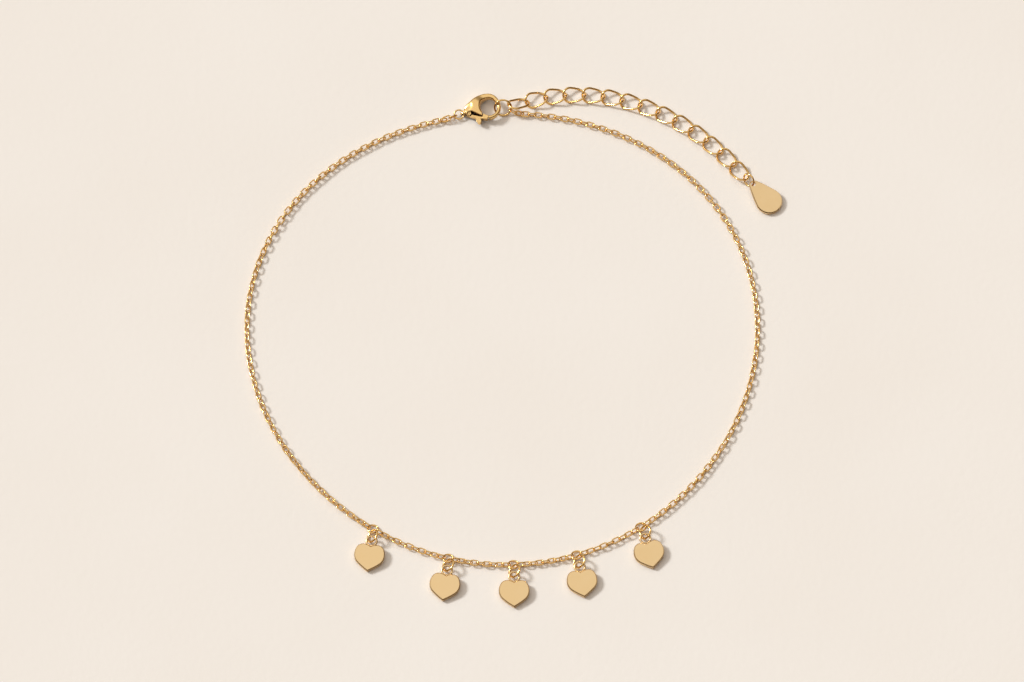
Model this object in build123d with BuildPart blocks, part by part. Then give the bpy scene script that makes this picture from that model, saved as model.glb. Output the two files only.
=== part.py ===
"""Charm anklet, laid open on a flat surface: fine cable chain, five flat heart charms, lobster
clasp and a curb-link extender with a small tag. Millimetres, +Z up. The origin is the middle of
the ankle loop, on the surface."""

from build123d import *
import math
import os

os.makedirs("parts", exist_ok=True)

UP = Vector(0, 0, 1)

# ---------------------------------------------------------------- driving dimensions
# Ankle loop: radius as a round form, then how much it is widened and made egg-shaped.
LOOP_RADIUS = 40.58
LOOP_OVAL = 0.51
LOOP_EGG = 0.52
LOOP_EGG_TURN = 19.0
LOOP_START = 84.715
LOOP_END = 104.435 - 360.0

# Cable chain.
CHAIN_WIRE = 0.27
LINK_WIDTH = 1.04
LINK_INNER = 1.25
GAP = 0.1
STATION_OD = 2.0
STATION_WIRE = 0.28
STATION_TILT = 20.0
# Fraction of the station's tilt left in the links beside it, one value for each link away.
TILT_FADE = (1.0, 1.0, 0.75, 0.5, 0.25)
# How much of the height of the station's wire the two nearest links on each side take up.
STATION_SHARES = (0.6, 0.25)
# How much of the chain's own direction the station's tilt axis takes.
STATION_BLEND = 0.4
# The two links at each end of the chain hang between the rings and the chain's line.
END_LINKS = (
    {"at": (1.532, 39.840, 0.866), "heading": -30.3, "pitch": -2.5, "roll": -44.9},
    {"at": (2.571, 39.556, 0.640), "heading": -7.5, "pitch": 18.6, "roll": 66.2},
    {"at": (-9.190, 38.574, 0.699), "heading": -164.1, "pitch": 14.3, "roll": -10.4},
    {"at": (-8.176, 38.937, 0.742), "heading": -152.2, "pitch": -22.5, "roll": -105.4},
)
# The chain's roll about its own line, by the angle clockwise from the clasp side.
ROLL_BY_ANGLE = (
    (0, 0),
    (45, 0),
    (70, 45),
    (113, 45),
    (126, 0),
    (218, 0),
    (240, 45),
    (291, 45),
    (304, 0),
    (360, 0),
)

# Charms, right to left: place round the loop, lean of the drop, links since the one before,
# place and roll of the jump ring in the charm's frame.
CHARMS = (
    {"at": -56.9, "lean": 14.0, "steps": 88, "ring": (0.37, -1.255, 1.015), "roll": 41.0},
    {"at": -73.1, "lean": 8.5, "steps": 10, "ring": (0.18, -1.33, 0.93), "roll": 40.0},
    {"at": -87.7, "lean": 0.0, "steps": 10, "ring": (0.17, -1.27, 0.94), "roll": 40.0},
    {"at": -102.6, "lean": -8.0, "steps": 10, "ring": (0.18, -1.33, 0.93), "roll": 40.0},
    {"at": -121.4, "lean": -8.0, "steps": 12, "ring": (0.13, -1.405, 0.96), "roll": 46.6},
)
LAST_STEPS = 83
JUMP_OD = 2.5
JUMP_WIRE = 0.36
JUMP_PITCH = 6.0
STATION_Z = 0.54
HEART_HEIGHT = 4.67
HEART_LOBE = 1.45
HEART_HALF_WIDTH = 2.48
HEART_THICKNESS = 0.8
HEART_EDGE = 0.12
HEART_TIP_ROUND = 0.25
HEART_NOTCH_ROUND = 0.3
HEART_LOBE_END = 30.0
HEART_TILT = 6.5
HEART_LOOP_OD = 2.0
HEART_LOOP_WIRE = 0.34
HEART_LOOP_Y = 5.17
HEART_PLACE = (0.12, -2.35)

# Lobster clasp, in its own frame: x from the tail to the hook, origin in the round opening.
CLASP_AT = (-2.36, 40.38)
CLASP_TURN = 12.0
CLASP_MID_Z = 1.02
CLASP_NOSE_UP = 4.0
# Outline stations from the tail to the nose: place along x, upper edge, lower edge.
CLASP_OUTLINE = (
    {"x": -3.85, "upper": 0.33, "lower": -0.36},
    {"x": -3.3, "upper": 1.02, "lower": -0.86},
    {"x": -2.4, "upper": 1.76, "lower": -1.36},
    {"x": -1.2, "upper": 2.30, "lower": -1.85},
    {"x": 0.0, "upper": 2.44, "lower": -2.08},
    {"x": 1.1, "upper": 2.03, "lower": -1.68},
    {"x": 1.75, "upper": 1.25, "lower": -0.92},
)
CLASP_NOSE = (1.98, 0.17)
# Half thickness along the clasp: place along x, half thickness there.
CLASP_SIDE = (
    {"x": -4.8, "half": 0.50},
    {"x": -3.6, "half": 0.70},
    {"x": -2.4, "half": 0.85},
    {"x": -1.0, "half": 0.72},
    {"x": 0.6, "half": 0.48},
    {"x": 2.4, "half": 0.40},
)
OPENING_RX = 1.36
OPENING_RY = 1.52
OPENING_Y = 0.05
CLASP_EDGE = 0.26
EYE_X = -4.2
EYE_RADIUS = 0.32
EYE_WALL = 0.18
EYE_BAR_WIDTH = 0.46
PIVOT = (-3.38, -0.40)
PIN_RADIUS = 0.14
PIN_HALF = 0.56
PIN_FIT = 0.02
LEVER_FIT = 0.03
HUB_RADIUS = 0.32
HUB_HALF = 0.28
CHEEK_RADIUS = 0.42
CHEEK_HALF = 0.56
ARM_HALF = 0.40
ARM_WIDTH = 0.36
GATE_HALF = 0.44
SLOT_GAP = 0.08
LEVER_SWEEP = 12.0
GATE_START = 2.30
GATE_END = 3.20
REST_ANGLE = -25.0
TAB_MIDDLE = (-2.0, -1.78)
TAB_ANGLE = -66.5
TAB_SPAN = 1.25
TAB_RADIUS = 0.33
TAB_HALF = 0.36
# Corners of the open wedge between the body's skins and the arm.
WEDGE = (
    (-3.62, -1.6),
    (-3.62, -0.30),
    (-3.40, -0.12),
    (-2.85, -0.22),
    (-2.10, -0.80),
    (-1.39, -1.31),
    (-1.10, -1.60),
    (-1.10, -2.60),
)

# Rings at the clasp.
CLASP_RING_OD = 1.75
CLASP_RING_WIRE = 0.26
CLASP_RING_X = -4.93
CLASP_RING_TILT = 15.0
CLOSING_OD = 3.0
CLOSING_WIRE = 0.32
CLOSING_AT = (-0.055, 40.348, 1.156)
CLOSING_HEADING = -2.0
CLOSING_TILT = 48.0

# Curb extender: an even arc of twisted links that ends in a ring and a drop-shaped tag.
EXT_COUNT = 14
EXT_PITCH = 3.07
EXT_START = (2.216, 41.257)
EXT_HEADING = 18.6
EXT_TURN = -5.8
EXT_WIRE = 0.36
EXT_WIDTH = 2.75
EXT_INNER = 3.24
EXT_ROLL = 23.0
# The first link hangs on the closing ring: its middle, heading, pitch and roll.
EXT_FIRST = {"at": (2.331, 41.146, 1.027), "heading": 24.8, "pitch": 20.6, "roll": -25.0}
TAG_RING_OD = 1.9
TAG_RING_WIRE = 0.28
TAG_RING_REACH = 2.05
TAG_RING_LEAN = 12.0
TAG_REACH = 2.76
TAG_NECK = 0.72
TAG_END = 2.25
TAG_SPAN = 3.80
TAG_THICKNESS = 0.7
TAG_EDGE = 0.12
TAG_HOLE = 0.46
TAG_TILT = 6.0
TAG_HEADING = -47.0


# ---------------------------------------------------------------- shared helpers
def loop_radius(angle):
    """Radius of the chain's line at an angle, counter-clockwise from +X."""
    oval = LOOP_OVAL * math.cos(math.radians(2 * angle))
    egg = LOOP_EGG * math.sin(math.radians(3 * angle - LOOP_EGG_TURN))
    return LOOP_RADIUS + oval + egg


def loop_length(start, end, steps=200):
    """Length of the chain's line between two angles."""
    step = (end - start) / steps
    middles = [start + step * (i + 0.5) for i in range(steps)]
    return sum(loop_radius(a) for a in middles) * math.radians(abs(step))


def advance(angle, distance):
    """The angle a distance further clockwise along the chain's line."""
    turned = angle - math.degrees(distance / loop_radius(angle)) / 2
    return angle - math.degrees(distance / loop_radius(turned))


def chain_heading(angle):
    """Heading of the chain's line at an angle, running clockwise."""
    slope = (loop_radius(angle + 0.5) - loop_radius(angle - 0.5)) / math.radians(1)
    return angle - 90 - math.degrees(math.atan2(slope, loop_radius(angle)))


def chain_roll(angle):
    """How far the whole chain has rolled over at an angle, in degrees."""
    clock = (90 - angle) % 360
    for (a0, r0), (a1, r1) in zip(ROLL_BY_ANGLE, ROLL_BY_ANGLE[1:]):
        if a0 <= clock <= a1:
            return r0 + (r1 - r0) * (clock - a0) / (a1 - a0)
    return 0


def chain_height(roll):
    """Height of the link centres when both link directions lean by the roll."""
    lean = max(abs(math.sin(math.radians(roll))), abs(math.cos(math.radians(roll))))
    return CHAIN_WIRE / 2 + (LINK_WIDTH - CHAIN_WIRE) / 2 * lean


def rolled_plane(at, heading, roll, pitch=0):
    """A plane at a point, x axis along the heading, pitched down and then rolled about it."""
    h = math.radians(heading)
    p = math.radians(pitch)
    r = math.radians(roll)
    x_dir = Vector(math.cos(h) * math.cos(p), math.sin(h) * math.cos(p), -math.sin(p))
    side = Vector(-math.sin(h), math.cos(h), 0)
    normal = x_dir.cross(side) * math.cos(r) - side * math.sin(r)
    return Plane(origin=at, x_dir=x_dir, z_dir=normal)


def make_ring(plane, outside, wire):
    """A closed round ring of round wire."""
    with BuildPart(plane) as ring:
        Torus((outside - wire) / 2, wire / 2)
    return ring.part


def save(part, name):
    """Labels a finished piece and writes it."""
    part.label = name
    export_step(part, f"parts/{name}.step")


# ---------------------------------------------------------------- main chain
def chain_places():
    """Angles of every link and station ring, clockwise: (angle, station or not, roll)."""
    station_step = STATION_OD / 2 - STATION_WIRE + LINK_INNER / 2 - GAP
    marks = [LOOP_START] + [c["at"] for c in CHARMS] + [LOOP_END]
    counts = [c["steps"] for c in CHARMS] + [LAST_STEPS]
    angles = [LOOP_START]
    stations = []
    for k, count in enumerate(counts):
        ends = (k > 0) + (k < len(CHARMS))
        pitch = (loop_length(marks[k], marks[k + 1]) - ends * station_step) / (count - ends)
        for i in range(count):
            beside = (i == 0 and k > 0) or (i == count - 1 and k < len(CHARMS))
            angles.append(advance(angles[-1], station_step if beside else pitch))
        if k < len(CHARMS):
            stations.append(len(angles) - 1)
    places = []
    for i, angle in enumerate(angles):
        near = min(abs(i - s) for s in stations)
        tilt = STATION_TILT * TILT_FADE[near] if near < len(TILT_FADE) else 0
        nearest = min(stations, key=lambda s: abs(i - s))
        quarter = 90 * ((i - nearest) % 2)
        places.append((angle, i in stations, chain_roll(angle) * (near > 6) + tilt, quarter))
    return places


def chain_plane(angle, roll, quarter):
    """Plane of one link on the chain's line."""
    radius = loop_radius(angle)
    a = math.radians(angle)
    at = (radius * math.cos(a), radius * math.sin(a), chain_height(roll))
    return rolled_plane(at, chain_heading(angle), roll + quarter)


def station_plane(angle, lean):
    """Plane of a station ring: raised on its charm's side."""
    a = math.radians(angle)
    lean = math.radians(lean + (chain_heading(angle) + 180 - lean) * STATION_BLEND)
    tilt = math.radians(STATION_TILT)
    x_dir = Vector(math.cos(lean), math.sin(lean), 0)
    normal = UP * math.cos(tilt) + UP.cross(x_dir) * math.sin(tilt)
    at = (loop_radius(angle) * math.cos(a), loop_radius(angle) * math.sin(a), STATION_Z)
    return Plane(origin=at, x_dir=x_dir, z_dir=normal)


def wire_height(station, point):
    """Height of a station ring's wire on the side that faces a point."""
    side = Vector(point.X - station.origin.X, point.Y - station.origin.Y, 0).normalized()
    drop = (STATION_OD - STATION_WIRE) / 2 * station.z_dir.dot(side) / station.z_dir.Z
    return station.origin.Z - drop


PLACES = chain_places()
STATION_PLACES = [index for index, row in enumerate(PLACES) if row[1]]
STATION_PLANES = [station_plane(PLACES[i][0], charm["lean"]) for i, charm in zip(STATION_PLACES, CHARMS)]
LINK_PLANES = [rolled_plane(row["at"], row["heading"], row["roll"], row["pitch"]) for row in END_LINKS]
for index, (angle, is_station, roll, quarter) in enumerate(PLACES):
    if is_station:
        continue
    plane = chain_plane(angle, roll, quarter)
    for place_index, station in zip(STATION_PLACES, STATION_PLANES):
        away = abs(place_index - index)
        if away <= len(STATION_SHARES):
            rise = wire_height(station, plane.origin) - plane.origin.Z
            plane.origin += UP * max(rise, 0) * STATION_SHARES[away - 1]
    LINK_PLANES.append(plane)

END_RADIUS = (LINK_WIDTH - CHAIN_WIRE) / 2
HALF_RUN = (LINK_INNER + 2 * CHAIN_WIRE - LINK_WIDTH) / 2
with BuildPart() as link:
    with BuildLine():
        near_run = Line((-HALF_RUN, -END_RADIUS), (HALF_RUN, -END_RADIUS))
        far_end = TangentArc(near_run @ 1, (HALF_RUN, END_RADIUS), tangent=near_run % 1)
        far_run = Line(far_end @ 1, (-HALF_RUN, END_RADIUS))
        TangentArc(far_run @ 1, near_run @ 0, tangent=far_run % 1)
    with BuildSketch(Plane(origin=near_run @ 0, z_dir=near_run % 0)):
        Circle(CHAIN_WIRE / 2)
    sweep()

with BuildPart() as main_chain:
    with Locations(*LINK_PLANES):
        add(link.part)
    with Locations(*STATION_PLANES):
        Torus((STATION_OD - STATION_WIRE) / 2, STATION_WIRE / 2)
save(main_chain.part, "main_chain")


# ---------------------------------------------------------------- heart charms
LOBE_X = HEART_HALF_WIDTH - HEART_LOBE
LOBE_Y = HEART_HEIGHT - HEART_LOBE
with BuildPart() as heart:
    with BuildSketch() as outline:
        with BuildLine():
            notch = (0, LOBE_Y + math.sqrt(HEART_LOBE**2 - LOBE_X**2))
            lobe_end = math.radians(HEART_LOBE_END)
            lower = (LOBE_X + HEART_LOBE * math.cos(lobe_end), LOBE_Y - HEART_LOBE * math.sin(lobe_end))
            top = (LOBE_X + HEART_LOBE * math.cos(math.radians(60)),
                   LOBE_Y + HEART_LOBE * math.sin(math.radians(60)))
            lobe = ThreePointArc(notch, top, lower)
            TangentArc(lobe @ 1, (0, 0), tangent=lobe % 1)
            mirror(about=Plane.YZ)
        make_face()
        ends = outline.vertices().filter_by_position(Axis.X, -0.01, 0.01).sort_by(Axis.Y)
        fillet(ends[0], HEART_TIP_ROUND)
        fillet(ends[-1], HEART_NOTCH_ROUND)
    extrude(amount=HEART_THICKNESS)
    rims = heart.faces().filter_by(Axis.Z).edges()
    fillet(rims, HEART_EDGE)
    with Locations((0, HEART_LOOP_Y, HEART_THICKNESS / 2)):
        Torus((HEART_LOOP_OD - HEART_LOOP_WIRE) / 2, HEART_LOOP_WIRE / 2)

for number, (station, charm) in enumerate(zip(reversed(STATION_PLANES), reversed(CHARMS)), 1):
    lean = math.radians(charm["lean"])
    frame = Plane(
        origin=(station.origin.X, station.origin.Y, 0),
        x_dir=(math.cos(lean), math.sin(lean), 0),
        z_dir=UP,
    )
    roll = math.radians(charm["roll"])
    pitch = math.radians(JUMP_PITCH)
    across = frame.x_dir * math.cos(roll) + UP * math.sin(roll)
    along = frame.y_dir * math.cos(pitch) - UP * math.sin(pitch)
    ring_plane = Plane(origin=frame.from_local_coords(charm["ring"]), x_dir=across, z_dir=across.cross(along))
    save(make_ring(ring_plane, JUMP_OD, JUMP_WIRE), f"jump_ring_{number}")

    tilt = math.radians(HEART_TILT)
    reach = HEART_LOOP_Y * math.cos(tilt) - HEART_THICKNESS / 2 * math.sin(tilt)
    tip = frame.from_local_coords((HEART_PLACE[0], HEART_PLACE[1] - reach, 0))
    heart_plane = Plane(origin=tip, x_dir=frame.x_dir,
                        z_dir=UP * math.cos(tilt) - frame.y_dir * math.sin(tilt))
    with BuildPart() as charm_part:
        with Locations(heart_plane):
            add(heart.part)
    save(charm_part.part, f"heart_charm_{number}")


# ---------------------------------------------------------------- clasp
turn = math.radians(CLASP_TURN)
nose_up = math.radians(CLASP_NOSE_UP)
clasp_x = Vector(math.cos(turn), math.sin(turn), 0) * math.cos(nose_up) + UP * math.sin(nose_up)
CLASP = Plane(
    origin=(CLASP_AT[0], CLASP_AT[1], CLASP_MID_Z),
    x_dir=clasp_x,
    z_dir=clasp_x.cross(Vector(-math.sin(turn), math.cos(turn), 0)),
)


def polar(angle, radius):
    """A point at an angle and a radius from the lever's pivot."""
    a = math.radians(angle)
    return (PIVOT[0] + radius * math.cos(a), PIVOT[1] + radius * math.sin(a))


def inset(points, amount):
    """The inner points of a line, moved square to it."""
    moved = []
    for before, here, after in zip(points, points[1:], points[2:]):
        run = (Vector(after) - Vector(before)).normalized()
        moved.append((here[0] - run.Y * amount, here[1] + run.X * amount))
    return moved


def place(part, plane, name):
    """Sets a piece made at the origin on a plane, and writes it."""
    with BuildPart() as placed:
        with Locations(plane):
            add(part, clean=False)
    save(placed.part, name)


# Outline of the whole clasp with its round opening.
UPPER = [(row["x"], row["upper"]) for row in CLASP_OUTLINE]
LOWER = [(row["x"], row["lower"]) for row in reversed(CLASP_OUTLINE)]
with BuildSketch() as clasp_plan:
    with BuildLine():
        Spline(*UPPER, CLASP_NOSE, *LOWER, periodic=True)
    make_face()
    with Locations((0, OPENING_Y)):
        Ellipse(OPENING_RX, OPENING_RY, mode=Mode.SUBTRACT)

# Side view of the clasp: thick at the shoulder, thin at the hook.
with BuildSketch(Plane.XZ) as clasp_side:
    with BuildLine():
        top = Spline(*[(row["x"], row["half"]) for row in CLASP_SIDE])
        mirror(about=Plane.XZ)
        Line(top @ 0, (CLASP_SIDE[0]["x"], -CLASP_SIDE[0]["half"]))
        Line(top @ 1, (CLASP_SIDE[-1]["x"], -CLASP_SIDE[-1]["half"]))
    make_face()

# The gate of the lever lies between two arcs about the pivot; the body leaves a gap at both.
with BuildSketch() as gate_gap:
    with BuildLine():
        inner = CenterArc(PIVOT, GATE_START - SLOT_GAP, REST_ANGLE - 20, 50)
        outer = CenterArc(PIVOT, GATE_END + SLOT_GAP, REST_ANGLE - 20, 50)
        Line(inner @ 0, outer @ 0)
        Line(outer @ 1, inner @ 1)
    make_face()
with BuildSketch() as gate_band:
    with BuildLine():
        inner = CenterArc(PIVOT, GATE_START, REST_ANGLE - 20, 50)
        outer = CenterArc(PIVOT, GATE_END, REST_ANGLE - 20, 50)
        Line(inner @ 0, outer @ 0)
        Line(outer @ 1, inner @ 1)
    make_face()
    add(clasp_plan.sketch, mode=Mode.INTERSECT)
with BuildSketch() as arm_band:
    with BuildLine():
        arm_edge = Spline(*inset([(row["x"], row["lower"]) for row in CLASP_OUTLINE[:5]], ARM_WIDTH))
        Polyline(arm_edge @ 1, (-1.1, -3), (-3.75, -3), (-3.75, -0.42), arm_edge @ 0)
    make_face()
    add(clasp_plan.sketch, mode=Mode.INTERSECT)
with BuildSketch() as hub_neck:
    with Locations(PIVOT):
        Circle(CHEEK_RADIUS + 0.3)
    add(arm_band.sketch, mode=Mode.INTERSECT)
    with Locations(PIVOT):
        Circle(HUB_RADIUS)
with BuildSketch() as thumb_tab:
    with Locations(Location(TAB_MIDDLE, TAB_ANGLE)):
        SlotCenterToCenter(TAB_SPAN, 2 * TAB_RADIUS)

# Open wedge beside the arm, and the two cheeks left in it to hold the pin.
with BuildSketch() as wedge:
    with BuildLine():
        Polyline(*WEDGE, close=True)
    make_face()
    with Locations(PIVOT):
        Circle(CHEEK_RADIUS, mode=Mode.SUBTRACT)
with BuildSketch() as cheek:
    with BuildLine():
        Polyline(*WEDGE, close=True)
    make_face()
    with Locations(PIVOT):
        Circle(CHEEK_RADIUS, mode=Mode.INTERSECT)
BODY_ANGLE = REST_ANGLE + LEVER_SWEEP + 4.0
with BuildSketch() as arm_slot:
    with BuildLine():
        Polyline(PIVOT, polar(BODY_ANGLE, 4), polar(-60, 4), polar(-95, 1), close=True)
    make_face()
    with Locations(PIVOT):
        Circle(CHEEK_RADIUS, mode=Mode.SUBTRACT)

with BuildPart() as clasp_body:
    extrude(clasp_plan.sketch, amount=1, both=True)
    extrude(clasp_side.sketch, amount=3, both=True, mode=Mode.INTERSECT)
    rims = [edge for edge in clasp_body.edges() if abs((edge % 0.5).Z) < 0.6]
    fillet(rims, CLASP_EDGE)
    # Eye bar at the tail.
    with BuildSketch(Plane.XZ):
        with Locations((EYE_X, 0)):
            Circle(EYE_RADIUS + EYE_WALL)
        with Locations((EYE_X + 0.3, 0)):
            Rectangle(0.6, 2 * (EYE_RADIUS + EYE_WALL))
    extrude(amount=EYE_BAR_WIDTH / 2, both=True)
    with BuildSketch(Plane.XZ):
        with Locations((EYE_X, 0)):
            Circle(EYE_RADIUS)
    extrude(amount=2, both=True, mode=Mode.SUBTRACT)
    # Room for the lever: gate, wedge, slot for the arm, hub and pin.
    extrude(gate_gap.sketch, amount=2, both=True, mode=Mode.SUBTRACT)
    extrude(wedge.sketch, amount=2, both=True, mode=Mode.SUBTRACT)
    with Locations((0, 0, CHEEK_HALF), (0, 0, -CHEEK_HALF - 1)):
        add(extrude(cheek.sketch, amount=1, mode=Mode.PRIVATE), mode=Mode.SUBTRACT)
    extrude(arm_slot.sketch, amount=ARM_HALF + SLOT_GAP, both=True, mode=Mode.SUBTRACT)
    with Locations(PIVOT):
        Cylinder(CHEEK_RADIUS, 2 * (HUB_HALF + SLOT_GAP), mode=Mode.SUBTRACT)
        Cylinder(PIN_RADIUS + PIN_FIT, 3, mode=Mode.SUBTRACT)
place(clasp_body.part, CLASP, "clasp_body")

with BuildPart() as clasp_lever:
    extrude(gate_band.sketch, amount=GATE_HALF, both=True)
    extrude(arm_band.sketch, amount=ARM_HALF, both=True)
    with Locations(PIVOT):
        Cylinder(CHEEK_RADIUS + SLOT_GAP, 3, mode=Mode.SUBTRACT)
    extrude(hub_neck.sketch, amount=HUB_HALF, both=True)
    extrude(thumb_tab.sketch, amount=TAB_HALF, both=True)
    with Locations(PIVOT):
        Cylinder(PIN_RADIUS + LEVER_FIT, 3, mode=Mode.SUBTRACT)
place(clasp_lever.part, CLASP, "clasp_lever")

with BuildPart() as clasp_pin:
    with Locations(PIVOT):
        Cylinder(PIN_RADIUS, 2 * PIN_HALF)
place(clasp_pin.part, CLASP, "clasp_pin")


# ---------------------------------------------------------------- rings at the clasp
tilt = math.radians(CLASP_RING_TILT)
ring_plane = Plane(
    origin=CLASP.from_local_coords((CLASP_RING_X, 0, 0)),
    x_dir=CLASP.x_dir,
    z_dir=CLASP.z_dir * math.cos(tilt) - CLASP.y_dir * math.sin(tilt),
)
save(make_ring(ring_plane, CLASP_RING_OD, CLASP_RING_WIRE), "clasp_ring")

closing_plane = rolled_plane(CLOSING_AT, CLOSING_HEADING, CLOSING_TILT)
save(make_ring(closing_plane, CLOSING_OD, CLOSING_WIRE), "closing_ring")


# ---------------------------------------------------------------- extender
EXT_END = (EXT_WIDTH - EXT_WIRE) / 2
EXT_RUN = (EXT_INNER + 2 * EXT_WIRE - EXT_WIDTH) / 2
with BuildPart() as extender_link:
    with BuildLine():
        near_run = Line((-EXT_RUN, -EXT_END), (EXT_RUN, -EXT_END))
        far_end = TangentArc(near_run @ 1, (EXT_RUN, EXT_END), tangent=near_run % 1)
        far_run = Line(far_end @ 1, (-EXT_RUN, EXT_END))
        TangentArc(far_run @ 1, near_run @ 0, tangent=far_run % 1)
    with BuildSketch(Plane(origin=near_run @ 0, z_dir=near_run % 0)):
        Circle(EXT_WIRE / 2)
    sweep()

x, y = EXT_START
heading = EXT_HEADING
ext_rise = EXT_END * math.sin(math.radians(EXT_ROLL))
for number in range(1, EXT_COUNT + 1):
    roll = -EXT_ROLL if number % 2 else EXT_ROLL
    plane = rolled_plane((x, y, EXT_WIRE / 2 + ext_rise), heading, roll)
    if number == 1:
        plane = rolled_plane(EXT_FIRST["at"], EXT_FIRST["heading"], EXT_FIRST["roll"], EXT_FIRST["pitch"])
    place(extender_link.part, plane, f"extender_link_{number:02d}")
    last = (x, y, heading)
    heading += EXT_TURN / 2
    x += EXT_PITCH * math.cos(math.radians(heading))
    y += EXT_PITCH * math.sin(math.radians(heading))
    heading += EXT_TURN / 2

# ---------------------------------------------------------------- end ring and tag
heading = math.radians(TAG_HEADING)
along = Vector(math.cos(heading), math.sin(heading), 0)
across = UP.cross(along)
ring_rise = (TAG_RING_OD - TAG_RING_WIRE) / 2 * math.cos(math.radians(TAG_RING_LEAN)) + TAG_RING_WIRE / 2
ring_at = Vector(last[0], last[1], ring_rise) + along * TAG_RING_REACH
ring_plane = rolled_plane(tuple(ring_at), TAG_HEADING, 90 + TAG_RING_LEAN)
save(make_ring(ring_plane, TAG_RING_OD, TAG_RING_WIRE), "tag_ring")

with BuildPart() as end_tag:
    with BuildSketch() as drop:
        with Locations((0, 0)):
            Circle(TAG_NECK)
        with Locations((TAG_SPAN, 0)):
            Circle(TAG_END)
        make_hull()
    extrude(amount=TAG_THICKNESS)
    fillet(end_tag.faces().filter_by(Axis.Z).edges(), TAG_EDGE)
    with Locations((0, 0)):
        Cylinder(TAG_HOLE, 3, mode=Mode.SUBTRACT)
tilt = math.radians(TAG_TILT)
tag_x = along * math.cos(tilt) - UP * math.sin(tilt)
rest = Vector(last[0], last[1], 0) + along * TAG_REACH
lift = (TAG_SPAN + TAG_END) * math.sin(tilt)
tag_plane = Plane(origin=rest + UP * lift, x_dir=tag_x, z_dir=tag_x.cross(across * -1) * -1)
place(end_tag.part, tag_plane, "end_tag")
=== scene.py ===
import math

import bmesh
import bpy
from mathutils import Matrix, Vector


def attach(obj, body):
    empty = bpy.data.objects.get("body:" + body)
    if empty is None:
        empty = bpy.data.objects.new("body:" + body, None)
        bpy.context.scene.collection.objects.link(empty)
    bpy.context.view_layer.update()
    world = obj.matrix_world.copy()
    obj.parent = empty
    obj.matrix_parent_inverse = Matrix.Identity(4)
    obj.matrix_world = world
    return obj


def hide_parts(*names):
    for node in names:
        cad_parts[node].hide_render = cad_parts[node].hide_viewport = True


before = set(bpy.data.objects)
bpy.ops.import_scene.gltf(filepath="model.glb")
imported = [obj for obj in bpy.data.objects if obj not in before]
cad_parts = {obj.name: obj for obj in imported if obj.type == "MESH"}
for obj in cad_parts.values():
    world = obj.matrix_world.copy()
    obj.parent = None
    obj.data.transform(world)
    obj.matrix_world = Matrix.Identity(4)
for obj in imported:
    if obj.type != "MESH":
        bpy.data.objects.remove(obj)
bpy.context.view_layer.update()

# A charm anklet in gold-plated brass: cable chain, heart charms, lobster clasp, curb extender and
# drop tag, lying in its loop on a pale plaster surface. The values below are in millimetres and
# degrees. The meshes are in metres, with +Z up and the surface at zero.
MM = 0.001
UP = Vector((0, 0, 1))
# Points nearer than this are one point.
TOUCH = 0.001 * MM
# A bend sharper than this stays a sharp edge.
CREASE = math.radians(30)

# Ankle loop: a circle, a little oval and a little egg-shaped.
LOOP_RADIUS = 40.58
LOOP_OVAL = 0.51
LOOP_EGG = 0.52
LOOP_EGG_TURN = 19.0
LOOP_START = 84.85
LOOP_END = 104.30 - 360.0

# Cable chain. A mesh is given as the faces round the ring and round its wire.
CHAIN_WIRE = 0.225
LINK_WIDTH = 1.06
LINK_INNER = 1.17
LINK_MESH = (22, 8)
LINK_CLEAR = 0.02
# Loose links never lie quite alike: each is turned a little, from the fourth beside a station.
SLACK = 5.0
SLACK_SWAY = 3
SLACK_STEP = 2.4
SLACK_FROM = 4
# The chain's roll about its own line, by the angle clockwise from the clasp side. It lies flat
# for six links beside a station.
ROLL_BY_ANGLE = (
    (0, 0),
    (45, 0),
    (70, 45),
    (113, 45),
    (126, 0),
    (218, 0),
    (240, 45),
    (291, 45),
    (304, 0),
    (360, 0),
)
ROLL_FROM = 7
# The four links that hang between the rings and the chain's line.
END_LINK_INNER = 1.25
END_LINKS = (
    {"at": (1.532, 39.840, 0.866), "heading": -30.3, "pitch": -2.5, "roll": -44.9},
    {"at": (2.571, 39.556, 0.640), "heading": -7.5, "pitch": 18.6, "roll": 66.2},
    {"at": (-9.190, 38.574, 0.699), "heading": -164.1, "pitch": 14.3, "roll": -10.4},
    {"at": (-8.176, 38.937, 0.742), "heading": -152.2, "pitch": -22.5, "roll": -105.4},
)

# Station rings, and how far the links beside them are raised and tilted with them.
STATION_OD = 2.0
STATION_WIRE = 0.28
STATION_TILT = 20.0
STATION_Z = 0.54
STATION_STEP = 1.21
STATION_BLEND = 0.4
STATION_SHARES = (0.6, 0.25)
TILT_FADE = (1.0, 1.0, 0.75, 0.5, 0.25)

# Rings are cut open and closed again: the cut is a fine groove, where the wire is thinner.
RING_MESH = (56, 16)
CUT_WIDTH = 0.05
CUT_SHARE = 0.84

# Charms, right to left, with the links from the station before.
CHARMS = (
    {"at": -56.9, "lean": 14.0, "steps": 94, "ring": (0.37, -1.255, 1.015), "roll": 41.0},
    {"at": -73.1, "lean": 8.5, "steps": 10, "ring": (0.18, -1.33, 0.93), "roll": 40.0},
    {"at": -87.7, "lean": 0.0, "steps": 10, "ring": (0.17, -1.27, 0.94), "roll": 40.0},
    {"at": -102.6, "lean": -8.0, "steps": 10, "ring": (0.18, -1.33, 0.93), "roll": 40.0},
    {"at": -121.4, "lean": -8.0, "steps": 12, "ring": (0.13, -1.405, 0.96), "roll": 46.6},
)
LAST_STEPS = 91
JUMP_OD = 2.5
JUMP_WIRE = 0.36
JUMP_PITCH = 6.0

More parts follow.
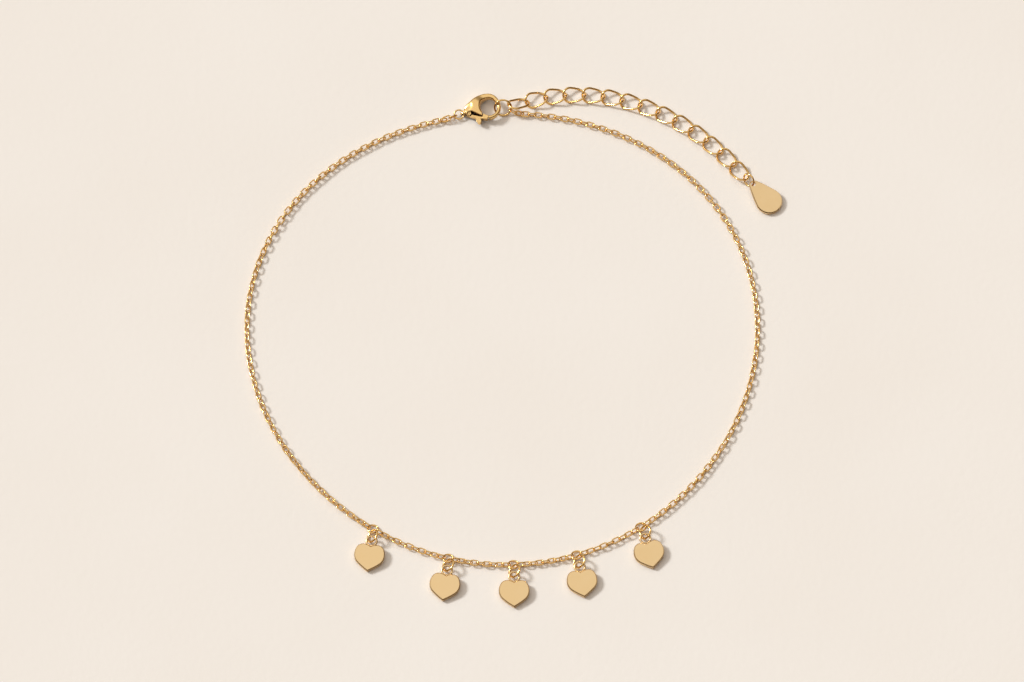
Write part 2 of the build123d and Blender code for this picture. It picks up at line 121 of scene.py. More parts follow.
# Hearts and tag: the right half of the outline as arcs (radius, turn) from its lowest point.
ARC_STEP = 4.0
HEART_SIDE = {"start": 30.0, "arcs": ((11.45, 11), (1.955, 49), (2.6, 25), (1.21, 65), (1.97, 34.7))}
HEART_THICKNESS = 0.8
HEART_EDGE = 0.15
HEART_TILT = 6.5
HEART_PLACE = (0.12, -2.35)
HEART_LOOP = {"outside": 2.0, "wire": 0.36, "y": 5.17}
HEART_LOOP_MESH = (48, 16)
TAG_SIDE = {"start": 0.0, "arcs": ((2.15, 108), (25.0, 8.0), (0.8212, 64.0))}
TAG_THICKNESS = 0.7
TAG_EDGE = 0.15
TAG_TILT = 6.9
TAG_HOLE = 0.42
TAG_HOLE_FACES = 40
TAG_HOLE_REACH = 3.31
TAG_HOLE_END = 0.58

# Clasp and the rings that it joins. A cut is the turn that takes a ring's groove out of sight.
CLASP_AT = (-2.36, 40.38, 1.02)
CLASP_TURN = 12.0
CLASP_NOSE_UP = 4.0
CLASP_RING = {"outside": 1.75, "wire": 0.26, "x": -4.93, "tilt": 15.0}
CLOSING_RING = {
    "outside": 3.0, "wire": 0.32, "at": (-0.055, 40.348, 1.156), "heading": -2.0, "tilt": 48.0, "cut": 75.0,
}
# A casting's skin: the size of its faces, and how often its corners are rubbed down.
SHELL_SKIN = {"grain": 0.05, "rounds": 14}
LEVER_SKIN = {"grain": 0.04, "rounds": 6}
# The shell swells over its broad part and fills out at the tail.
SHELL_PULLS = (
    {"at": (-1.9, 0.75, 0.84), "core": 0.30, "step": (0.0, 0.0, 0.30), "reach": 1.6},
    {"at": (-3.35, 0.85, 0.30), "core": 0.40, "step": (-0.34, -0.05, 0.0), "reach": 0.75},
    {"at": (0.9, 1.9, 0.45), "core": 0.30, "step": (0.0, 0.0, 0.12), "reach": 0.9},
)
# The thumb tab is short and leans to the tail.
LEVER_PULLS = (
    {"at": (-1.8, -2.65, 0.0), "core": 0.45, "step": (-0.25, 0.25, 0.0), "reach": 0.8},
)

# Curb extender: it turns a little less with every link.
EXT_COUNT = 14
EXT_PITCH = 3.10
EXT_START = (2.402, 41.143)
EXT_HEADING = 21.4
EXT_TURN = -7.12
EXT_EASE = 0.256
EXT_Z = 0.60
EXT_WIRE = 0.36
EXT_WIDTH = 2.75
EXT_INNER = 3.24
EXT_TWIST = -76.0
EXT_MESH = (50, 14)
EXT_BENDS = (-0.4, 0.0, 0.4)
# The first link climbs to the closing ring, and is wrung less.
EXT_FIRST = {"at": (2.438, 41.096, 1.10), "heading": 24.8, "pitch": 20.6, "roll": -27.0, "twist": -8.0}
TAG_RING = {"outside": 2.4, "wire": 0.28, "reach": 2.30, "lean": -27.0, "cut": -110.0}
TAG_HEADING = -48.0

# Surface, light and view. The room's light is given by how near a direction is to the ceiling
# light, which sits a little to the back left; the walls below it are dark.
FLOOR_SIZE = 1600.0
FLOOR_MOTTLE = 38.0
FLOOR_GRAIN = 1.1
FLOOR_GRAIN_DEPTH = 0.06
CEILING_LIGHT = (-0.28, 0.22, 0.93)
ROOM_DARK = (0.40, (0.10, 0.064, 0.037))
ROOM_BETWEEN = (0.60, (0.34, 0.29, 0.24))
ROOM_BRIGHT = (0.80, (0.97, 0.93, 0.88))
WINDOW_LIGHT = {"energy": 2.25, "angle": 12.0, "colour": (0.95, 0.98, 1.0), "travel": (1.16, -0.5, -1.0)}
VIEW_CENTRE = (1.40, -0.96, 0.5)
VIEW_ELEVATION = 65.0
VIEW_WIDTH = 164.864
LENS = 900.0
LENS_SENSOR = 36.0


# ---------------------------------------------------------------- places
def loop_radius(angle):
    """Radius of the chain's line at an angle, counter-clockwise from +X."""
    oval = LOOP_OVAL * math.cos(math.radians(2 * angle))
    egg = LOOP_EGG * math.sin(math.radians(3 * angle - LOOP_EGG_TURN))
    return LOOP_RADIUS + oval + egg


def loop_length(start, end, steps=200):
    """Length of the chain's line between two angles."""
    step = (end - start) / steps
    middles = [start + step * (i + 0.5) for i in range(steps)]
    return sum(loop_radius(a) for a in middles) * math.radians(abs(step))


def advance(angle, distance):
    """The angle a distance further clockwise along the chain's line."""
    turned = angle - math.degrees(distance / loop_radius(angle)) / 2
    return angle - math.degrees(distance / loop_radius(turned))


def chain_heading(angle):
    """Heading of the chain's line at an angle, running clockwise."""
    slope = (loop_radius(angle + 0.5) - loop_radius(angle - 0.5)) / math.radians(1)
    return angle - 90 - math.degrees(math.atan2(slope, loop_radius(angle)))


def chain_roll(angle):
    """How far the chain has rolled over at an angle, in degrees."""
    clock = (90 - angle) % 360
    for (a0, r0), (a1, r1) in zip(ROLL_BY_ANGLE, ROLL_BY_ANGLE[1:]):
        if a0 <= clock <= a1:
            return r0 + (r1 - r0) * (clock - a0) / (a1 - a0)
    return 0


def chain_height(roll):
    """Height of the link centres when both link directions lean by the roll."""
    lean = max(abs(math.sin(math.radians(roll))), abs(math.cos(math.radians(roll))))
    return CHAIN_WIRE / 2 + (LINK_WIDTH - CHAIN_WIRE) / 2 * lean + LINK_CLEAR


def on_loop(angle, height):
    """The point of the chain's line at an angle, at a height."""
    a = math.radians(angle)
    return [loop_radius(angle) * math.cos(a), loop_radius(angle) * math.sin(a), height]


def level(heading):
    """The level direction of a heading in degrees."""
    h = math.radians(heading)
    return Vector((math.cos(h), math.sin(h), 0))


def seat(at, x_dir, normal):
    """A place in millimetres, with its x axis and normal, as a matrix in metres."""
    z = normal.normalized()
    x = (x_dir - z * x_dir.dot(z)).normalized()
    turned = Matrix((x, z.cross(x), z)).transposed().to_4x4()
    turned.translation = Vector(at) * MM
    return turned


def rolled(at, heading, roll, pitch=0):
    """A place with its x axis along the heading, pitched down and then rolled about it."""
    p, r = math.radians(pitch), math.radians(roll)
    x = level(heading) * math.cos(p) - UP * math.sin(p)
    side = level(heading + 90)
    return seat(at, x, x.cross(side) * math.cos(r) - side * math.sin(r))


def turned_cut(angle):
    """A turn of a ring in its own plane, which moves its cut round."""
    return Matrix.Rotation(math.radians(angle), 4, "Z")


def station_place(angle, lean):
    """Place of a station ring: raised on its charm's side."""
    tilt = math.radians(STATION_TILT)
    x = level(lean + (chain_heading(angle) + 180 - lean) * STATION_BLEND)
    return seat(on_loop(angle, STATION_Z), x, UP * math.cos(tilt) + UP.cross(x) * math.sin(tilt))


def station_rise(station, at):
    """How far a station ring's wire lies above a point beside it."""
    middle = station.translation / MM
    side = Vector((at[0] - middle.x, at[1] - middle.y, 0)).normalized()
    normal = station.col[2].xyz
    return middle.z - (STATION_OD - STATION_WIRE) / 2 * normal.dot(side) / normal.z - at[2]


def chain_angles():
    """The angle of every link and station ring along the loop, and the stations' places among them."""
    marks = [LOOP_START] + [charm["at"] for charm in CHARMS] + [LOOP_END]
    counts = [charm["steps"] for charm in CHARMS] + [LAST_STEPS]
    angles = [LOOP_START]
    at_station = []
    for k, count in enumerate(counts):
        ends = (k > 0) + (k < len(CHARMS))
        pitch = (loop_length(marks[k], marks[k + 1]) - ends * STATION_STEP) / (count - ends)
        for i in range(count):
            beside = (i == 0 and k > 0) or (i == count - 1 and k < len(CHARMS))
            angles.append(advance(angles[-1], STATION_STEP if beside else pitch))
        if k < len(CHARMS):
            at_station.append(len(angles) - 1)
    return angles, at_station


def chain_places():
    """Places of the plain links, and of the station rings."""
    angles, at_station = chain_angles()
    stations = [station_place(angles[i], charm["lean"]) for i, charm in zip(at_station, CHARMS)]
    links = []
    for i, angle in enumerate(angles):
        nearest = min(at_station, key=lambda s: abs(i - s))
        near = abs(i - nearest)
        if near == 0:
            continue
        roll = chain_roll(angle) if near >= ROLL_FROM else 0
        roll += STATION_TILT * TILT_FADE[near] if near < len(TILT_FADE) else 0
        at = on_loop(angle, chain_height(roll))
        if near <= len(STATION_SHARES):
            rise = station_rise(stations[at_station.index(nearest)], at)
            at[2] += max(rise, 0) * STATION_SHARES[near - 1]
        slack = SLACK * math.sin(SLACK_STEP * i) if near >= SLACK_FROM else 0
        # Every other link stands a quarter turn from its neighbours.
        quarter = 90 * (near % 2)
        links.append(rolled(at, chain_heading(angle) + slack / SLACK_SWAY, roll + quarter + slack))
    return links, stations


# ---------------------------------------------------------------- modelling
def deselect():
    """Clears the selection, so that an operator acts on one piece alone."""
    for piece in bpy.context.selected_objects:
        piece.select_set(False)


def choose(piece):
    """Makes one piece the selected and active one."""
    deselect()
    piece.select_set(True)
    bpy.context.view_layer.objects.active = piece


def pick(piece, test):
    """In edit mode, selects the points that pass a test, and nothing else."""
    bpy.ops.mesh.select_mode(type="VERT")
    bpy.ops.mesh.select_all(action="DESELECT")
    shape = bmesh.from_edit_mesh(piece.data)
    for point in shape.verts:
        point.select = test(point.co)
    shape.select_flush_mode()
    bmesh.update_edit_mesh(piece.data)


def slice_all(at, across):
    """In edit mode, adds the edges where a plane crosses the piece."""
    bpy.ops.mesh.select_all(action="SELECT")
    bpy.ops.mesh.bisect(plane_co=at, plane_no=across)


def smooth():
    """Leaves edit mode, with the piece shaded smooth."""
    bpy.ops.object.mode_set(mode="OBJECT")
    bpy.ops.object.shade_smooth()


def torus(outside, wire, faces):
    """A closed ring of round wire, active and in edit mode."""
    deselect()
    bpy.ops.mesh.primitive_torus_add(
        major_radius=(outside - wire) / 2 * MM,
        minor_radius=wire / 2 * MM,
        major_segments=faces[0],
        minor_segments=faces[1],
    )
    ring = bpy.context.object
    bpy.ops.object.mode_set(mode="EDIT")
    return ring


def oval_link(width, inner, wire, faces, bends=()):
    """An oval link: a ring drawn out along x by its straight sides, with extra edges across them."""
    link = torus(width, wire, faces)
    run = (inner + 2 * wire - width) / 2 * MM
    pick(link, lambda co: co.x > 0)
    bpy.ops.transform.translate(value=(run, 0, 0))
    pick(link, lambda co: co.x < 0)
    bpy.ops.transform.translate(value=(-run, 0, 0))
    for x in bends:
        slice_all((x * MM, 0, 0), (1, 0, 0))
    smooth()
    return link


def curb_link(twist):
    """A curb link: an oval link wrung about its length."""
    link = oval_link(EXT_WIDTH, EXT_INNER, EXT_WIRE, EXT_MESH, EXT_BENDS)
    wring = link.modifiers.new("wring", "SIMPLE_DEFORM")
    wring.deform_method = "TWIST"
    wring.deform_axis = "X"
    wring.angle = math.radians(twist)
    bpy.ops.object.modifier_apply(modifier="wring")
    return link


def cut_ring(outside, wire):
    """A jump ring: a ring with the fine groove where its two ends meet."""
    ring = torus(outside, wire, RING_MESH)
    for side in (-1, 1):
        slice_all((0, side * CUT_WIDTH / 2 * MM, 0), (0, 1, 0))
    middle = (outside - wire) / 2 * MM
    pick(ring, lambda co: co.x > 0 and abs(co.y) < TOUCH)
    bpy.ops.transform.resize(value=(CUT_SHARE, 1, CUT_SHARE), center_override=(middle, 0, 0))
    smooth()
    return ring


def arc_plate(side, thickness, edge):
    """A flat plate: half of its outline is turned arc by arc, mirrored, filled, raised and bevelled."""
    deselect()
    bpy.ops.mesh.primitive_plane_add(size=MM)
    plate = bpy.context.object
    bpy.ops.object.mode_set(mode="EDIT")
    bpy.ops.mesh.select_all(action="SELECT")
    bpy.ops.mesh.merge(type="CENTER")
    x, y, heading = 0.0, 0.0, math.radians(side["start"])
    for radius, turn in side["arcs"]:
        centre = (x - radius * math.sin(heading), y + radius * math.cos(heading))
        angle = math.radians(turn)
        bpy.ops.mesh.spin(
            steps=max(3, round(turn / ARC_STEP)),
            angle=-angle,
            center=(centre[0] * MM, centre[1] * MM, 0),
            axis=(0, 0, 1),
        )
        heading += angle
        x, y = centre[0] + radius * math.sin(heading), centre[1] - radius * math.cos(heading)
    bpy.ops.mesh.select_all(action="SELECT")
    bpy.ops.mesh.duplicate()
    bpy.ops.transform.resize(value=(-1, 1, 1), center_override=(0, 0, 0))
    bpy.ops.mesh.select_all(action="SELECT")
    bpy.ops.mesh.remove_doubles(threshold=20 * TOUCH)
    bpy.ops.mesh.edge_face_add()
    bpy.ops.mesh.extrude_region_move(TRANSFORM_OT_translate={"value": (0, 0, thickness * MM)})
    bpy.ops.mesh.select_all(action="SELECT")
    bpy.ops.mesh.normals_make_consistent(inside=False)
    pick(plate, lambda co: co.z > thickness * MM / 2)
    bpy.ops.mesh.bevel(offset=edge * MM, segments=1, affect="EDGES")
    pick(plate, lambda co: co.z < TOUCH)
    bpy.ops.mesh.bevel(offset=edge * MM, segments=1, affect="EDGES")
    bpy.ops.object.mode_set(mode="OBJECT")
    # The upper face is satin; the bevels, the sides and the underside are burnished.
    plate.data.materials.append(satin_gold)
    plate.data.materials.append(edge_gold)
    for face in plate.data.polygons:
        face.material_index = 0 if face.normal.z > 0.99 else 1
    return plate


def cast_form(node, name, skin, pulls):
    """The smooth form of a cast piece, made over its solid: its corners run into each other.

    Each pull moves the skin near a place by a step, in the clasp's own directions.
    """
    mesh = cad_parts[node].data.copy()
    mesh.transform(clasp_seat.inverted())
    form = bpy.data.objects.new(name, mesh)
    bpy.context.scene.collection.objects.link(form)
    choose(form)
    bpy.ops.object.mode_set(mode="EDIT")
    bpy.ops.mesh.select_all(action="SELECT")
    bpy.ops.mesh.remove_doubles(threshold=TOUCH)
    bpy.ops.object.mode_set(mode="OBJECT")
    remesh = form.modifiers.new("even_skin", "REMESH")
    remesh.mode = "VOXEL"
    remesh.voxel_size = skin["grain"] * MM
    bpy.ops.object.modifier_apply(modifier="even_skin")
    soften = form.modifiers.new("soften", "SMOOTH")
    soften.factor = 0.5
    soften.iterations = skin["rounds"]
    bpy.ops.object.modifier_apply(modifier="soften")
    bpy.ops.object.mode_set(mode="EDIT")
    for pull in pulls:
        near = Vector(pull["at"]) * MM
        pick(form, lambda co: (co - near).length < pull["core"] * MM)
        bpy.ops.transform.translate(
            value=Vector(pull["step"]) * MM,
            use_proportional_edit=True,
            proportional_edit_falloff="SMOOTH",
            proportional_size=pull["reach"] * MM,
        )
    smooth()
    form.data.transform(clasp_seat)
    return form


def set_down(model, place, name):
    """A copy of a model with its own mesh, moved to its place."""
    mesh = model.data.copy()
    mesh.transform(place)
    mesh.name = name
    copy = bpy.data.objects.new(name, mesh)
    bpy.context.scene.collection.objects.link(copy)
    return copy


def discard(*models):
    """Removes models whose copies are in their places."""
    for model in models:
        bpy.data.objects.remove(model)


def finish(piece, body, nodes, slot, *finish_materials):
    """Sets what a piece rides on and is made of, and hides the CAD parts that it takes the place of."""
    piece.data.materials.clear()
    for material in finish_materials:
        piece.data.materials.append(material)
    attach(piece, body)
    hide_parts(*nodes)


# ---------------------------------------------------------------- materials
def linear(code):
    """An sRGB hex colour as linear light, with alpha."""
    parts = [int(code[i:i + 2], 16) / 255 for i in (1, 3, 5)]
    return tuple(p / 12.92 if p <= 0.04045 else ((p + 0.055) / 1.055) ** 2.4 for p in parts) + (1,)


def add_node(tree, kind, settings=(), inputs=(), links=()):
    """Adds a node, sets its properties and input values, and links its inputs."""
    node = tree.nodes.new(kind)
    for name, value in dict(settings).items():
        setattr(node, name, value)
    for name, value in dict(inputs).items():
        node.inputs[name].default_value = value
    for name, output in dict(links).items():
        tree.links.new(output, node.inputs[name])
    return node


def gold_plate(name, light, deep, roughness, patch, grain, depth, hollow_shade_reach=0.0):
    """Gold-plated brass: its tone drifts over patches, its polish has a fine grain, and shade can be
    painted dark brown into its hollows.

    Patch, grain, depth and recess are in millimetres. Real polishing marks are finer than the grain,
    which is as coarse as it needs to be to soften the light.
    """
    material = bpy.data.materials.new(name)
    material.use_nodes = True
    tree = material.node_tree
    shader = tree.nodes["Principled BSDF"]
    shader.inputs["Metallic"].default_value = 1.0
    place = add_node(tree, "ShaderNodeTexCoord").outputs["Object"]
    drift = add_node(
        tree, "ShaderNodeTexNoise",
        inputs={"Scale": 1 / (patch * MM), "Detail": 2.0},
        links={"Vector": place},
    )
    tone = add_node(
        tree, "ShaderNodeMix",
        settings={"data_type": "RGBA"},
        links={"Factor": drift.outputs["Fac"]},
    )
    tone.inputs["A"].default_value = linear(light)
    tone.inputs["B"].default_value = linear(deep)
    tree.links.new(tone.outputs["Result"], shader.inputs["Base Color"])
    if hollow_shade_reach:
        # Painted shade: the base colour turns dark brown where the surface is closed in, standing in for
        # the shadow in the hollows.
        reach = add_node(
            tree, "ShaderNodeAmbientOcclusion",
            settings={"samples": 8},
            inputs={"Distance": hollow_shade_reach * MM},
        )
        unshaded_share = add_node(
            tree, "ShaderNodeMapRange",
            inputs={"From Min": 0.35, "From Max": 0.85},
            links={"Value": reach.outputs["AO"]},
        )
        painted_shade_tone = add_node(
            tree, "ShaderNodeMix",
            settings={"data_type": "RGBA"},
            links={"Factor": unshaded_share.outputs["Result"]},
        )
        # The dark brown of the painted shade.
        painted_shade_tone.inputs["A"].default_value = linear("#3A1F0A")
        tree.links.new(tone.outputs["Result"], painted_shade_tone.inputs["B"])
        tree.links.new(painted_shade_tone.outputs["Result"], shader.inputs["Base Color"])
    haze = add_node(
        tree, "ShaderNodeMapRange",
        inputs={"To Min": roughness * 0.8, "To Max": roughness * 1.25},
        links={"Value": drift.outputs["Fac"]},
    )
    tree.links.new(haze.outputs["Result"], shader.inputs["Roughness"])
    texture = add_node(
        tree, "ShaderNodeTexNoise",
        inputs={"Scale": 1 / (grain * MM), "Detail": 3.0},
        links={"Vector": place},
    )
    bump = add_node(
        tree, "ShaderNodeBump",
        inputs={"Strength": 1.0, "Distance": depth * MM},
        links={"Height": texture.outputs["Fac"]},
    )
    tree.links.new(bump.outputs["Normal"], shader.inputs["Normal"])
    return material


def warm_white_plaster():
    """Warm white plaster: nearly flat, with a faint mottle and a fine grain."""
    material = bpy.data.materials.new("warm_white_plaster")
    material.use_nodes = True
    tree = material.node_tree
    shader = tree.nodes["Principled BSDF"]
    shader.inputs["Roughness"].default_value = 0.85
    shader.inputs["Specular IOR Level"].default_value = 0.2
    place = add_node(tree, "ShaderNodeTexCoord").outputs["Object"]
    mottle = add_node(
        tree, "ShaderNodeTexNoise",
        inputs={"Scale": 1 / (FLOOR_MOTTLE * MM), "Detail": 4.0},
        links={"Vector": place},
    )
    tone = add_node(
        tree, "ShaderNodeMix",
        settings={"data_type": "RGBA"},
        links={"Factor": mottle.outputs["Fac"]},
    )
    tone.inputs["A"].default_value = linear("#F6F0E9")
    tone.inputs["B"].default_value = linear("#F1E9E0")
    tree.links.new(tone.outputs["Result"], shader.inputs["Base Color"])
    grain = add_node(
        tree, "ShaderNodeTexNoise",
        inputs={"Scale": 1 / (FLOOR_GRAIN * MM), "Detail": 5.0},
        links={"Vector": place},
    )
    bump = add_node(
        tree, "ShaderNodeBump",
        inputs={"Strength": 0.5, "Distance": FLOOR_GRAIN_DEPTH * MM},
        links={"Height": grain.outputs["Fac"]},
    )
    tree.links.new(bump.outputs["Normal"], shader.inputs["Normal"])
    return material


# Drawn wire, tumbled bright and plated: a rich yellow with sharp light and dark streaks.
wire_gold = gold_plate("bright_gold_plated_wire", "#F8D18C", "#F0C47A", 0.16, 3.0, 0.30, 0.0004)
# Stamped plates, satin finished: pale even faces with a soft sheen.
satin_gold = gold_plate("satin_gold_plated_sheet", "#ECCE9E", "#E8C893", 0.30, 2.5, 0.09, 0.0006)
# The cut edges of the plates are burnished: dark and light lines round the satin faces.
edge_gold = gold_plate("burnished_gold_plated_edge", "#F3CD8C", "#EDC27C", 0.12, 2.5, 0.30, 0.0004)
# Cast and hand polished: smooth, with broad soft reflections, and painted shade in its hollows.
cast_gold = gold_plate(
    "polished_gold_plated_casting", "#F4D092", "#EEC581", 0.16, 4.0, 0.60, 0.0008, hollow_shade_reach=0.9,
)


# ---------------------------------------------------------------- cable chain
def lay_cable_chain(links):
    """The chain's loose links as one piece, from the plain links' places and the end links'."""
    plain_link = oval_link(LINK_WIDTH, LINK_INNER, CHAIN_WIRE, LINK_MESH)
    end_link = oval_link(LINK_WIDTH, END_LINK_INNER, CHAIN_WIRE, LINK_MESH)
    laid = [set_down(plain_link, place, f"link_{i:03d}") for i, place in enumerate(links)]
    for row in END_LINKS:
        place = rolled(row["at"], row["heading"], row["roll"], row["pitch"])
        laid.append(set_down(end_link, place, "end_link"))
    discard(plain_link, end_link)
    choose(laid[0])
    for piece in laid[1:]:
        piece.select_set(True)
    bpy.ops.object.join()
    laid[0].name = "cable_chain"
    finish(laid[0], "root", ["main_chain"], "gold_chain", wire_gold)


def lay_station_rings(stations):
    """The larger rings in the chain, left to right."""
    model = cut_ring(STATION_OD, STATION_WIRE)
    for number, place in enumerate(reversed(stations), 1):
        ring = set_down(model, place, f"station_ring_{number}")
        finish(ring, "root", ["main_chain"], "gold_chain", wire_gold)
    discard(model)


links, stations = chain_places()
lay_cable_chain(links)
lay_station_rings(stations)


# ---------------------------------------------------------------- charms
def looped_heart():
    """A heart, face up, with the loop that is soldered into its notch."""
    heart = arc_plate(HEART_SIDE, HEART_THICKNESS, HEART_EDGE)
    loop = torus(HEART_LOOP["outside"], HEART_LOOP["wire"], HEART_LOOP_MESH)
    loop.data.materials.append(edge_gold)
    bpy.ops.mesh.select_all(action="SELECT")
    bpy.ops.transform.translate(value=(0, HEART_LOOP["y"] * MM, HEART_THICKNESS / 2 * MM))
    bpy.ops.object.mode_set(mode="OBJECT")
    heart.select_set(True)
    bpy.context.view_layer.objects.active = heart
    bpy.ops.object.join()
    bpy.ops.object.shade_smooth_by_angle(angle=CREASE)
    return heart


def heart_seat(foot, right, ahead):
    """Place of a heart on its station's foot: its point rests on the surface, its loop is raised."""
    tilt = math.radians(HEART_TILT)
    loop_at = foot + right * HEART_PLACE[0] + ahead * HEART_PLACE[1]
    back = HEART_LOOP["y"] * math.cos(tilt) - HEART_THICKNESS / 2 * math.sin(tilt)
    return seat(loop_at - ahead * back, right, UP * math.cos(tilt) - ahead * math.sin(tilt))


def jump_ring_seat(foot, right, ahead, charm):
    """Place of a jump ring, with its cut turned to its lower side."""
    roll, pitch = math.radians(charm["roll"]), math.radians(JUMP_PITCH)
    x, y, z = charm["ring"]
    across = right * math.cos(roll) + UP * math.sin(roll)
    along = ahead * math.cos(pitch) - UP * math.sin(pitch)
    return seat(foot + right * x + ahead * y + UP * z, along * -1, across.cross(along))


def hang_charms(stations):
    """A heart and its jump ring at every station ring, left to right."""
    heart_model = looped_heart()
    ring_model = cut_ring(JUMP_OD, JUMP_WIRE)
    for number, (station, charm) in enumerate(zip(reversed(stations), reversed(CHARMS)), 1):
        right = level(charm["lean"])
        ahead = UP.cross(right)
        foot = station.translation / MM
        foot.z = 0
        heart = set_down(heart_model, heart_seat(foot, right, ahead), f"heart_{number}")
        finish(heart, "root", [f"heart_charm_{number}"], "gold_charm", satin_gold, edge_gold)
        ring = set_down(ring_model, jump_ring_seat(foot, right, ahead, charm), f"charm_ring_{number}")
        finish(ring, "root", [f"jump_ring_{number}"], "gold_chain", wire_gold)
    discard(heart_model, ring_model)


hang_charms(stations)


# ---------------------------------------------------------------- clasp
def place_ring(size, place, name, node):
    """A single ring at its place."""
    model = cut_ring(size["outside"], size["wire"])
    ring = set_down(model, place, name)
    finish(ring, "root", [node], "gold_chain", wire_gold)
    discard(model)


nose = math.radians(CLASP_NOSE_UP)
clasp_x = level(CLASP_TURN) * math.cos(nose) + UP * math.sin(nose)
clasp_y = level(CLASP_TURN + 90)
clasp_z = clasp_x.cross(clasp_y)
clasp_seat = seat(CLASP_AT, clasp_x, clasp_z)

shell = cast_form("clasp_body", "clasp_shell", SHELL_SKIN, SHELL_PULLS)
finish(shell, "root", ["clasp_body"], "gold_clasp", cast_gold)
lever = cast_form("clasp_lever", "clasp_thumb_lever", LEVER_SKIN, LEVER_PULLS)
finish(lever, "lever", ["clasp_lever"], "gold_clasp", cast_gold)
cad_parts["clasp_pin"].data.materials.clear()
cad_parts["clasp_pin"].data.materials.append(cast_gold)

tilt = math.radians(CLASP_RING["tilt"])
tail_at = Vector(CLASP_AT) + clasp_x * CLASP_RING["x"]
tail_seat = seat(tail_at, clasp_y, clasp_z * math.cos(tilt) - clasp_y * math.sin(tilt))
place_ring(CLASP_RING, tail_seat, "clasp_tail_ring", "clasp_ring")

closing_seat = rolled(CLOSING_RING["at"], CLOSING_RING["heading"], CLOSING_RING["tilt"])
closing_seat = closing_seat @ turned_cut(CLOSING_RING["cut"])
place_ring(CLOSING_RING, closing_seat, "clasp_closing_ring", "closing_ring")


# ---------------------------------------------------------------- extender
def lay_extender():
    """The curb links, one after the other; returns the foot of the last one's middle."""
    first_model = curb_link(EXT_FIRST["twist"])
    model = curb_link(EXT_TWIST)
    x, y = EXT_START
    heading, turn = EXT_HEADING, EXT_TURN
    for number in range(1, EXT_COUNT + 1):
        if number == 1:
            place = rolled(EXT_FIRST["at"], EXT_FIRST["heading"], EXT_FIRST["roll"], EXT_FIRST["pitch"])
            link = set_down(first_model, place, f"curb_link_{number:02d}")
        else:
            link = set_down(model, rolled((x, y, EXT_Z), heading, 0), f"curb_link_{number:02d}")
        finish(link, "root", [f"extender_link_{number:02d}"], "gold_chain", wire_gold)
        last = Vector((x, y, 0))
        heading += turn / 2
        x += EXT_PITCH * math.cos(math.radians(heading))
        y += EXT_PITCH * math.sin(math.radians(heading))
        heading += turn / 2
        turn += EXT_EASE
    discard(first_model, model)
    return last


def drilled_tag():
    """The drop tag, face up, with its hole, and how far the hole is from the broad end."""
    plate = arc_plate(TAG_SIDE, TAG_THICKNESS, TAG_EDGE)
    hole_y = max(point.co.y for point in plate.data.vertices) - TAG_HOLE_END * MM
    deselect()
    bpy.ops.mesh.primitive_cylinder_add(
        vertices=TAG_HOLE_FACES,
        radius=TAG_HOLE * MM,
        depth=3 * MM,
        location=(0, hole_y, 0),
    )
    drill = bpy.context.object
    hole = plate.modifiers.new("hole", "BOOLEAN")
    hole.object = drill
    hole.solver = "EXACT"
    choose(plate)
    bpy.ops.object.modifier_apply(modifier="hole")
    bpy.ops.object.shade_smooth_by_angle(angle=CREASE)
    discard(drill)
    return plate, hole_y / MM


def hang_tag(last):
    """The small ring through the last curb link, and the tag on it: its broad end rests on the surface."""
    along = level(TAG_HEADING)
    lean = math.radians(TAG_RING["lean"])
    rise = (TAG_RING["outside"] - TAG_RING["wire"]) / 2 * math.cos(lean) + TAG_RING["wire"] / 2
    ring_seat = rolled(last + along * TAG_RING["reach"] + UP * rise, TAG_HEADING, 90 + TAG_RING["lean"])
    place_ring(TAG_RING, ring_seat @ turned_cut(TAG_RING["cut"]), "tag_holding_ring", "tag_ring")

    model, hole_y = drilled_tag()
    tilt = math.radians(TAG_TILT)
    tag_x = level(TAG_HEADING + 90)
    tag_y = UP * math.sin(tilt) - along * math.cos(tilt)
    foot = last + along * TAG_HOLE_REACH - tag_y * hole_y
    foot.z = 0
    tag = set_down(model, seat(foot, tag_x, tag_x.cross(tag_y)), "drop_tag")
    finish(tag, "root", ["end_tag"], "gold_charm", satin_gold, edge_gold)
    discard(model)


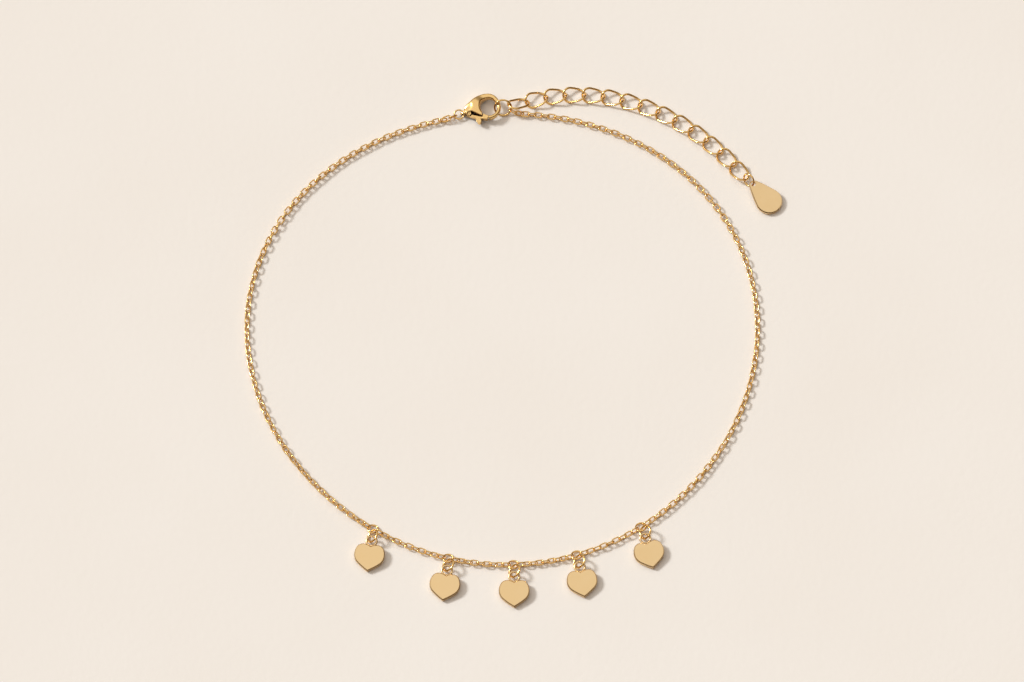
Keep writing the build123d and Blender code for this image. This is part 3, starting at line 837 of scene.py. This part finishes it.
hang_tag(lay_extender())


# ---------------------------------------------------------------- floor, light and camera
def light_room():
    """A soft ceiling light over dark walls."""
    world = bpy.data.worlds.new("soft_room")
    bpy.context.scene.world = world
    world.use_nodes = True
    tree = world.node_tree
    background = tree.nodes["Background"]
    direction = add_node(tree, "ShaderNodeTexCoord").outputs["Generated"]
    toward = add_node(tree, "ShaderNodeVectorMath", {"operation": "DOT_PRODUCT"}, links={0: direction})
    toward.inputs[1].default_value = Vector(CEILING_LIGHT).normalized()
    ramp = add_node(tree, "ShaderNodeValToRGB", links={"Fac": toward.outputs["Value"]})
    stops = ramp.color_ramp.elements
    for stop, (position, colour) in zip(stops, (ROOM_DARK, ROOM_BRIGHT)):
        stop.position = position
        stop.color = colour + (1,)
    stops.new(ROOM_BETWEEN[0]).color = ROOM_BETWEEN[1] + (1,)
    tree.links.new(ramp.outputs["Color"], background.inputs["Color"])
    background.inputs["Strength"].default_value = 1.0


deselect()
bpy.ops.mesh.primitive_plane_add(size=FLOOR_SIZE * MM, location=(0, 0, 0))
floor = bpy.context.object
floor.name = "plaster_floor"
floor.data.materials.append(warm_white_plaster())

light_room()
deselect()
bpy.ops.object.light_add(type="SUN")
window = bpy.context.object
window.name = "window_light"
window.data.energy = WINDOW_LIGHT["energy"]
window.data.angle = math.radians(WINDOW_LIGHT["angle"])
window.data.color = WINDOW_LIGHT["colour"]
window.rotation_euler = Vector(WINDOW_LIGHT["travel"]).to_track_quat("-Z", "Y").to_euler()

deselect()
bpy.ops.object.camera_add()
camera = bpy.context.object
camera.name = "viewpoint"
camera.data.lens = LENS
camera.data.clip_start = 0.01
target = Vector(VIEW_CENTRE) * MM
elevation = math.radians(VIEW_ELEVATION)
distance = LENS / LENS_SENSOR * VIEW_WIDTH * MM
camera.location = target + Vector((0, -math.cos(elevation), math.sin(elevation))) * distance
camera.rotation_euler = (target - camera.location).to_track_quat("-Z", "Y").to_euler()
bpy.context.scene.camera = camera
bpy.context.scene.view_settings.view_transform = "Standard"
